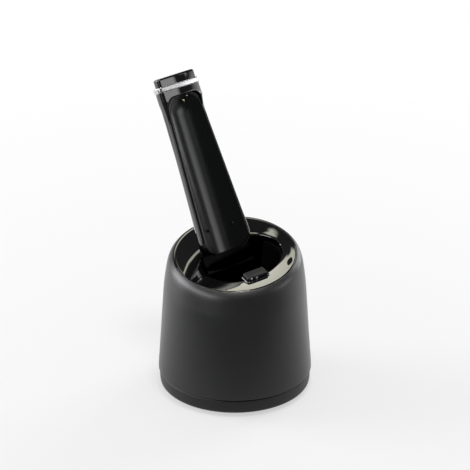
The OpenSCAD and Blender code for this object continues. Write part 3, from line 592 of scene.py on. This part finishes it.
def panel_edge():
    """The panel's outline from its left foot, over its top, to its right foot: place and normal."""
    side = Vector((PANEL_W0 - PANEL_W1, 2 * (PANEL_SHOULDER - TONGUE_S))).normalized()
    outline = []
    for i in range(FOOT_STEPS):
        t = math.radians(90 * i / FOOT_STEPS)
        x = -PANEL_W0 / 2 + TONGUE_R * (1 - math.sin(t))
        outline.append((Vector((x, TONGUE_S - TONGUE_R * math.cos(t))),
                        Vector((-math.sin(t), -math.cos(t)))))
    for i in range(SIDE_STEPS):
        s = TONGUE_S + (PANEL_SHOULDER - TONGUE_S) * i / SIDE_STEPS
        x = (PANEL_W0 + (PANEL_W1 - PANEL_W0) * i / SIDE_STEPS) / 2
        outline.append((Vector((-x, s)), Vector((-side.y, side.x))))
    corner = Vector((-PANEL_W1 / 2 + PANEL_CORNER, PANEL_SHOULDER))
    for i in range(CORNER_STEPS + 1):
        t = math.radians(180 - 90 * i / CORNER_STEPS)
        away = Vector((math.cos(t), math.sin(t)))
        outline.append((corner + PANEL_CORNER * away, away))
    for i in range(1, TOP_STEPS + 1):
        x = (PANEL_W1 / 2 - PANEL_CORNER) * (i / TOP_STEPS - 1)
        outline.append((Vector((x, PANEL_TOP)), Vector((0, 1))))
    right_half = [(Vector((-p.x, p.y)), Vector((-n.x, n.y))) for p, n in reversed(outline[:-1])]
    return outline + right_half


OUTLINE = panel_edge()
CORNER_START = FOOT_STEPS + SIDE_STEPS
SIDE_COUNT = CORNER_START + CORNER_STEPS + 1
HEAD_ROWS = 123.6  # above this the front's rows run right across the head
FOOT_END = 4  # below this the front is black: painted shade, down in the well
CROWN = 1.3  # how far the head's front falls back on its way out to its sides
PANEL_GAP = 0.15
FILLET = 0.4  # radius of the edge round the panel's opening
OPENING_BACK = 1.9  # how deep the opening's wall reaches
BEVEL = 0.15  # of both shells at the seam between them
TURNED_IN = 1.5  # how far the shells reach inwards along the seam
BACK_FOLLOWS = 0.3  # share of the foot's drawing in by which the back's seam moves back
# Steps along a row: the front's side and corner, half the head. Then steps from the rail to the
# opening, round the opening's edge and up the head.
SIDE_ROWS, CORNER_ROWS, HEAD_STEPS = 6, 8, 8
FACE_STEPS, EDGE_STEPS, HEAD_LEVELS = 4, 5, 4


def crown(x, s):
    """How far the head's front falls back towards its sides."""
    _, w, _, _, f, _ = at(TOWER, s)
    return CROWN * f / HEAD_FRONT * (2 * x / w) ** 2


def flank(s):
    """A row of the front housing's left side, from its seam round its front corner."""
    _, w, d, e, f, r = at(TOWER, s)
    f -= crown(w / 2 - r, s)

    def half(y):
        """Half the housing's width at a depth."""
        return (w / 2 if y <= e else w / 2 * math.sqrt(1 - ((y - e) / (d - e)) ** 2)) - tongue(s)

    row = [(TURNED_IN - half(SPLIT), SPLIT, s), (BEVEL - half(SPLIT), SPLIT, s)]
    start_y, end_y = SPLIT - BEVEL, r - f
    for k in range(SIDE_ROWS + 1):
        y = start_y + (end_y - start_y) * k / SIDE_ROWS
        row.append((-half(y), y, s))
    for k in range(1, CORNER_ROWS + 1):
        t = math.radians(180 + 90 * k / CORNER_ROWS)
        row.append((r - w / 2 + tongue(s) + r * math.cos(t), r - f + r * math.sin(t), s))
    return row


def on_front(p):
    """A place across and up the tower, moved onto the housing's front."""
    return (p.x, crown(p.x, p.y) - at(TOWER, p.y)[4], p.y)


def opening_edge(turn):
    """A line round the panel's opening, where its edge has turned inwards by an angle."""
    line = []
    for p, n in opening:
        q = p + FILLET * (1 - math.sin(turn)) * n
        line.append((q.x, on_front(p)[1] + FILLET * (1 - math.cos(turn)), q.y))
    return line


# The front's rows are level with the points of the panel's outline, and evenly spaced from its
# shoulder up. The rail runs along their inner ends from the left foot, over the head, to the right
# foot. It has as many points as the panel's outline.
levels = [p.y for p, _ in OUTLINE[:CORNER_START]]
levels += [PANEL_SHOULDER + (HEAD_ROWS - PANEL_SHOULDER) * k / CORNER_STEPS
           for k in range(CORNER_STEPS + 1)]
rail = [Vector((flank(s)[-1][0], s)) for s in levels]
rail += [Vector((rail[-1].x * (1 - k / HEAD_STEPS), HEAD_ROWS)) for k in range(1, HEAD_STEPS + 1)]
rail += [Vector((-p.x, p.y)) for p in reversed(rail[:-1])]

front = Shape()
front.skin([flank(s) for s in levels], closed=False)
front.skin([mirrored(flank(s)) for s in levels], closed=False)
opening = [(p + PANEL_GAP * n, n) for p, n in OUTLINE]
strips = [[on_front(o.lerp(p + FILLET * n, k / FACE_STEPS)) for o, (p, n) in zip(rail, opening)]
          for k in range(FACE_STEPS + 1)]
strips += [opening_edge(math.radians(90 * k / EDGE_STEPS)) for k in range(1, EDGE_STEPS + 1)]
strips.append([(p.x, OPENING_BACK, p.y) for p, _ in opening])
front.skin(strips, closed=False)
head = []
for k in range(HEAD_LEVELS + 1):
    s = HEAD_ROWS + (TOWER_LEN - HEAD_ROWS) * k / HEAD_LEVELS
    left = flank(s)
    across = [left[-1][0] * (1 - i / HEAD_STEPS) for i in range(1, 2 * HEAD_STEPS)]
    head.append(left + [on_front(Vector((x, s))) for x in across] + mirrored(left))
front.skin(head, closed=False)
# The front's foot has the bowl's black finish: painted shade where it goes down into the dark well.
foot = front.split(lambda s: s < FOOT_END)
foot.build("tower_front_foot_painted_shade", "housing", [], "bowl_black", TOWER_FRAME)
front.build("tower_front_shell", "housing", ["tower_front"], "gloss_black", TOWER_FRAME)


def back_row(s, count=64):
    """A row of the back housing, from its seam on the right to its seam on the left."""
    _, w, d, e, _, _ = at(TOWER, s)
    first = math.asin((SPLIT + SPLIT_GAP + BACK_FOLLOWS * tongue(s) - e) / (d - e))
    row = []
    for k in range(count + 1):
        t = first + (math.pi - 2 * first) * k / count
        row.append((w / 2 * math.cos(t), e + (d - e) * math.sin(t), s))
    x, y = row[0][:2]
    ends = [(x - TURNED_IN, y, s), (x - BEVEL, y, s), (x, y + BEVEL, s)]
    return ends + row[1:-1] + mirrored(ends)


back = Shape().skin([back_row(row[0]) for row in TOWER], closed=False)
back.build("tower_back_shell", "housing", ["tower_back"], "gloss_black", TOWER_FRAME)

SHADE_SHEET_IN = 0.9  # how far the sheet of painted shade lies inside the housing's outside
SHADE_SHEET_BULGE = 1.5
SHADE_SHEET_STEPS = 15


def shade_sheet_row(s):
    """A row of the black sheet of painted shade under the housing's foot, round its front and sides."""
    _, w, d, e, _, _ = at(TOWER, s)
    wide, deep = w / 2 - SHADE_SHEET_IN, d - e - SHADE_SHEET_IN
    side = []
    for degrees in range(70, 10, -5):
        t = math.radians(degrees)
        side.append((-wide * math.cos(t), e + deep * math.sin(t), s))
    x, y, _ = side[-1]
    sheet = []
    for k in range(1, 2 * SHADE_SHEET_STEPS):
        across = 1 - k / SHADE_SHEET_STEPS
        sheet.append((x * across, y + SHADE_SHEET_BULGE * (1 - across**2), s))
    return side + sheet + mirrored(side)


# A black sheet that stands for the shade in the well under the tower's foot: painted shade.
shade_sheet = Shape().skin([shade_sheet_row(s) for s in range(-17, 8)], closed=False)
shade_sheet.build("tower_painted_shade_sheet", "housing", [], "bowl_black", TOWER_FRAME)

# ---- Cradle panel ---------------------------------------------------------------------------

PANEL_RIM = 1.5  # width of the flat rim beside the hollow, at its foot
HOLLOW_R = ((PANEL_W0 / 2 - PANEL_RIM) ** 2 + HOLLOW_FOOT**2) / (2 * HOLLOW_FOOT)
HOLLOW_TILT = math.atan((HOLLOW_FOOT - HOLLOW_HEAD) / HOLLOW_END)
HOLLOW_BLEND = 0.16
PANEL_FACE = -0.2  # depth of the panel's flat rim, which stands just proud of the housing
PANEL_ROUND = 0.45
PANEL_BACK = 2.2  # how deep its sides reach
FOOT_THICK = 1.5  # how thick its lower end looks
# Points of the panel's rows: distance in from its edge, then steps to its middle.
RIM_STEPS = (0, 0.05, 0.12, 0.22, 0.34, 0.48, 0.8, 1.2, 1.7, 2.3)
HOLLOW_STEPS = 20


def panel_depth(x, s):
    """Depth of the panel's hollow, blended softly into its flat rim."""
    reach = HOLLOW_R**2 - x * x - max(0.0, s - HOLLOW_END) ** 2
    depth = HOLLOW_FOOT - HOLLOW_R + math.sqrt(reach) - min(s, HOLLOW_END) * math.tan(HOLLOW_TILT)
    blend = HOLLOW_BLEND * math.log(1 + math.exp(-abs(depth - PANEL_FACE) / HOLLOW_BLEND))
    return max(depth, PANEL_FACE) + blend


def panel_point(x, s, half):
    """A point of the panel, which is rounded off next to its edge. half is half its width."""
    margin = half - abs(x)
    over, above = abs(x) - PANEL_W1 / 2 + PANEL_CORNER, s - PANEL_SHOULDER
    if above > 0:
        margin = PANEL_CORNER - math.hypot(over, above) if over > 0 else PANEL_CORNER - above
    away = max(0.0, PANEL_ROUND - max(margin, 0.0))
    return (x, panel_depth(x, s) + PANEL_ROUND - math.sqrt(PANEL_ROUND**2 - away**2), s)


panel = Shape()
rows = []
for p, _ in OUTLINE[:SIDE_COUNT]:
    half = -p.x
    places = [half - inset for inset in RIM_STEPS]
    places += [places[-1] * (1 - k / HOLLOW_STEPS) for k in range(1, HOLLOW_STEPS + 1)]
    places += [-x for x in reversed(places[:-1])]
    face = [panel_point(x, p.y, half) for x in places]
    rows.append([(places[0], PANEL_BACK, p.y)] + face + [(places[-1], PANEL_BACK, p.y)])
foot_end = [(x, y + FOOT_THICK, s) for x, y, s in rows[0]]
top_end = [(x, PANEL_BACK, s) for x, _, s in rows[-1]]
panel.skin([foot_end] + rows + [top_end], closed=False)

# Two nubs that steady the shaver: places across and up the tower, then radius and depth.
NUBS = ((-11.2, 15), (11.2, 15))
NUB = ((1, 5.6), (1, 3), (0.9, 2.75), (0.6, 2.62))
for middle in NUBS:
    panel.skin(turned(middle, NUB, 32), last_cap=True)
panel = panel.build("cradle", "housing", ["cradle_panel"], "cradle_matt", TOWER_FRAME, sharp=50)

# The contacts: places across and up the tower, then radius and depth, of each hole too.
CONTACTS = {"left": (0.6, TOWER_LEN - 10.2), "right": (4.8, TOWER_LEN - 7.2)}
CONTACT_PIN = ((0.95, 3.9), (0.95, 0.3), (0.87, 0.08), (0.7, -0.1), (0.4, -0.2), (0.1, -0.22))
CONTACT_HOLE = ((1.1, -4), (1.1, 9))
for side, middle in CONTACTS.items():
    hole = Shape().skin(turned(middle, CONTACT_HOLE), first_cap=True, last_cap=True)
    cut(panel, hole, TOWER_FRAME)
    pin = Shape().skin(turned(middle, CONTACT_PIN), first_cap=True, last_cap=True)
    pin.build("contact_tip_" + side, "contact_" + side, ["contact_pin_" + side], "contact_gold",
              TOWER_FRAME)

# ---- Head: trim band and lift button --------------------------------------------------------

HEAD_SIDE = 2.6  # depth of the straight part of the head's sides
HEAD_CORNER, BUTTON_CORNER = 3, 2.4  # radius of the front corners
BUTTON_GAP = 0.3


def head_ring(w, d, s, grow, r, f, corner_steps=12, back_steps=72):
    """The head's outline: w by d, grown outwards, its front corners of radius r and f forward."""
    half, lo = w / 2 + grow, -grow - f
    side = lo + CROWN * (1 - r / half) ** 2
    left = []
    for k in range(corner_steps + 1):
        t = math.radians(180 + 90 * k / corner_steps)
        left.append((r - half + r * math.cos(t), side + r + r * math.sin(t), s))
    front = []
    for k in range(1, 2 * HEAD_STEPS):
        x = (half - r) * (k / HEAD_STEPS - 1)
        front.append((x, lo + CROWN * (x / half) ** 2, s))
    ring = left + front + mirrored(left)
    for k in range(back_steps + 1):
        t = math.pi * k / back_steps
        ring.append((half * math.cos(t), HEAD_SIDE + (d - HEAD_SIDE + grow) * math.sin(t), s))
    return ring


# The band's outside: how far it is grown, height. Its inside clears the lift button by a gap.
BAND = ((0, 0.1), (0.22, 0.2), (0.38, 0.45), (0.45, 0.85), (0.45, BAND_H - 0.8),
        (0.38, BAND_H - 0.35), (0.22, BAND_H - 0.1), (0, BAND_H))
rings = [head_ring(HEAD_W, HEAD_D, TOWER_LEN + z, grow, HEAD_CORNER, HEAD_FRONT)
         for grow, z in BAND]
rings += [head_ring(BUTTON_W, BUTTON_D, TOWER_LEN + z, BUTTON_GAP, BUTTON_CORNER, BUTTON_FRONT)
          for z in (BAND_H - 0.1, 0.1)]
trim = Shape().skin(rings + [rings[0]])
trim.build("trim", "housing", ["trim_band"], "trim_chrome", TOWER_FRAME)

# The lift button's outside: height, how far it is grown.
KEY = ((BUTTON_FOOT, 0), (BUTTON_TOP - 1.7, 0), (BUTTON_TOP - 1.2, -0.07), (BUTTON_TOP - 0.75, -0.27),
       (BUTTON_TOP - 0.38, -0.6), (BUTTON_TOP - 0.13, -1.05), (BUTTON_TOP - 0.02, -1.6),
       (BUTTON_TOP, -2.2))
key = Shape().skin([head_ring(BUTTON_W, BUTTON_D, z, grow, BUTTON_CORNER, BUTTON_FRONT)
                    for z, grow in KEY], first_cap=True, last_cap=True)
key.build("lift_key", "lift_button", ["lift_button"], "gloss_black", TOWER_FRAME)

# ---- Floor, light and camera ----------------------------------------------------------------

# Directions: from the object back to the camera, the picture's right and up, and level ahead.
VIEW_TURN, VIEW_HEIGHT = math.radians(-38.5), math.radians(26)
back_way = Vector((math.sin(VIEW_TURN) * math.cos(VIEW_HEIGHT),
                   -math.cos(VIEW_TURN) * math.cos(VIEW_HEIGHT), math.sin(VIEW_HEIGHT)))
side_way = Vector((math.cos(VIEW_TURN), math.sin(VIEW_TURN), 0))
up_way = back_way.cross(side_way)
level_way = Vector((-back_way.x, -back_way.y, 0))

bpy.ops.mesh.primitive_plane_add(size=60)
floor = bpy.context.object
floor.name = "floor"
pale = finish("pale floor", (0.9, 0.9, 0.9), 0.6, Specular_IOR_Level=0.1)
tree = pale.node_tree


def blend(share, first, second):
    """A shader that is the first one, and the second one by a share."""
    return add_node(tree, "ShaderNodeMixShader", None, share, first, second)


# The camera sees a white floor, whiter further out. Polished pieces see one that is paler towards
# the back. Everything else sees the plain floor, which takes the shadows.
spot = add_node(tree, "ShaderNodeTexCoord", output="Object")
plain = Value(tree, tree.nodes["Principled BSDF"].outputs[0])
paler = (0.68 + dot(tree, spot, level_way) * 3.4).clamp(0.1, 1)
far = add_node(tree, "ShaderNodeVectorMath", {"operation": "LENGTH"}, spot, output="Value")
whiter = (0.3 + far * 1.2).clamp(0.55, 1)
to_camera = add_node(tree, "ShaderNodeLightPath", output="Is Camera Ray")
to_gloss = add_node(tree, "ShaderNodeLightPath", output="Is Glossy Ray")
white = blend(to_camera * whiter, plain, add_node(tree, "ShaderNodeEmission"))
mirrored_floor = blend(to_gloss, white, add_node(tree, "ShaderNodeEmission", Strength=paler))
put(tree, tree.nodes["Material Output"].inputs["Surface"], mirrored_floor)
floor.data.materials.append(pale)


LIT_SPOT = (0, 0, 0.12)


def lamp(name, place, size, power, color=(1, 1, 1)):
    """A rectangular light at a place in metres. It faces the object."""
    data = bpy.data.lights.new(name, "AREA")
    data.shape, data.size, data.size_y = "RECTANGLE", *size
    data.energy, data.color = power, color
    made = bpy.data.objects.new(name, data)
    bpy.context.scene.collection.objects.link(made)
    made.location = place
    made.rotation_euler = (Vector(LIT_SPOT) - Vector(place)).to_track_quat("-Z", "Y").to_euler()
    made.visible_camera = False


lamp("top light", (-0.075, -0.25, 1.7), (0.3, 0.3), 7)
lamp("left light", (-0.95, 1.15, 0.6), (0.9, 1.3), 15, (0.96, 0.96, 1))
lamp("right light", (1.48, 0.2, 0.5), (0.8, 1.3), 12)

# What polished pieces show: a dark room, a white backdrop and bright boxes. Each box has its range
# of direction to the right, away from the viewer and up, how soft its edges are, and its strength.
SOFTBOXES = (((-0.235, 0.03), (0.1, 1.1), (0.44, 0.735), 0.02, 3.0),
             ((-0.31, -0.14), (0.1, 1.1), (0.845, 0.95), 0.03, 3.8),
             ((-0.2, 0.23), (-0.3, 0.02), (0.9, 1.1), 0.03, 6.5),
             ((0.5, 1.1), (-0.47, -0.24), (0.38, 0.53), 0.04, 2.4),
             ((0.5, 1.1), (-0.27, 0.16), (0.1, 0.37), 0.08, 5.0),
             ((0.5, 1.1), (-0.105, -0.055), (0.38, 0.6), 0.015, 4.5),
             ((0.5, 1.1), (0.3, 0.6), (0.38, 0.62), 0.06, 3.0),
             ((-1.1, -0.4), (-0.9, 0.5), (0.15, 0.62), 0.1, 4.2),
             ((-0.5, 0.6), (-0.8, -0.1), (0.68, 0.9), 0.1, 0.9))

studio = bpy.data.worlds.new("studio")
bpy.context.scene.world = studio
studio.use_nodes = True
tree = studio.node_tree
background = tree.nodes["Background"]


def along(direction):
    """How far a ray of the world points along a direction."""
    return dot(tree, add_node(tree, "ShaderNodeTexCoord", output="Generated"), direction)


def between(value, low, high, soft):
    """1 where a value is between two limits, and 0 outside them, with soft edges."""
    return ((value - low) * (1 / soft)).clamp(0, 1) * ((high - value) * (1 / soft)).clamp(0, 1)


right, away, up = along(side_way), along(level_way.normalized()), along(Vector((0, 0, 1)))

# The backdrop ends a little above level. It is dimmer far to the right and dark behind the viewer.
backdrop = between(up, -2, 0.24, 0.2) * (1 - between(right, 0.76, 2, 0.06) * 0.55)
shown = 0.08 + backdrop * (0.3 + away * 1.4).clamp(0.05, 0.92)
boxes = []
for rights, aways, ups, soft, strength in SOFTBOXES:
    box = between(right, *rights, soft) * between(away, *aways, soft) * between(up, *ups, soft)
    boxes.append(box * strength)
    shown = shown + boxes[-1]

# The camera sees white, polished pieces see the studio, and the rest is lit evenly and softly. The
# first three boxes are warm.
EVEN_LIGHT = 0.42
seen = add_node(tree, "ShaderNodeLightPath", output="Is Camera Ray")
mirrored_ray = add_node(tree, "ShaderNodeLightPath", output="Is Glossy Ray")
put(tree, background.inputs["Strength"],
    seen + (1 - seen) * (mirrored_ray * shown + (1 - mirrored_ray) * EVEN_LIGHT))
warm = (mirrored_ray * (boxes[0] + boxes[1] + boxes[2])).clamp(0, 1)
put(tree, background.inputs["Color"], mix_colors(tree, warm, (1, 1, 1, 1), (1, 0.99, 0.84, 1)))

# The camera stands far off. Its aim is what the middle of the picture shows.
DISTANCE = 3000
PIXELS_PER_MM = 1.302
IMAGE = 470  # pixels across
SENSOR = 36
aim = Vector((0, 0, 74.4)) + 0.077 * side_way + 46.7 * up_way
camera_data = bpy.data.cameras.new("camera")
camera_data.sensor_width = SENSOR
camera_data.lens = PIXELS_PER_MM * SENSOR * DISTANCE / IMAGE
camera_data.clip_end = 20
camera = bpy.data.objects.new("camera", camera_data)
bpy.context.scene.collection.objects.link(camera)
camera.location = (aim + DISTANCE * back_way) * MM
camera.rotation_euler = back_way.to_track_quat("Z", "Y").to_euler()
bpy.context.scene.camera = camera
bpy.context.scene.view_settings.view_transform = "Standard"
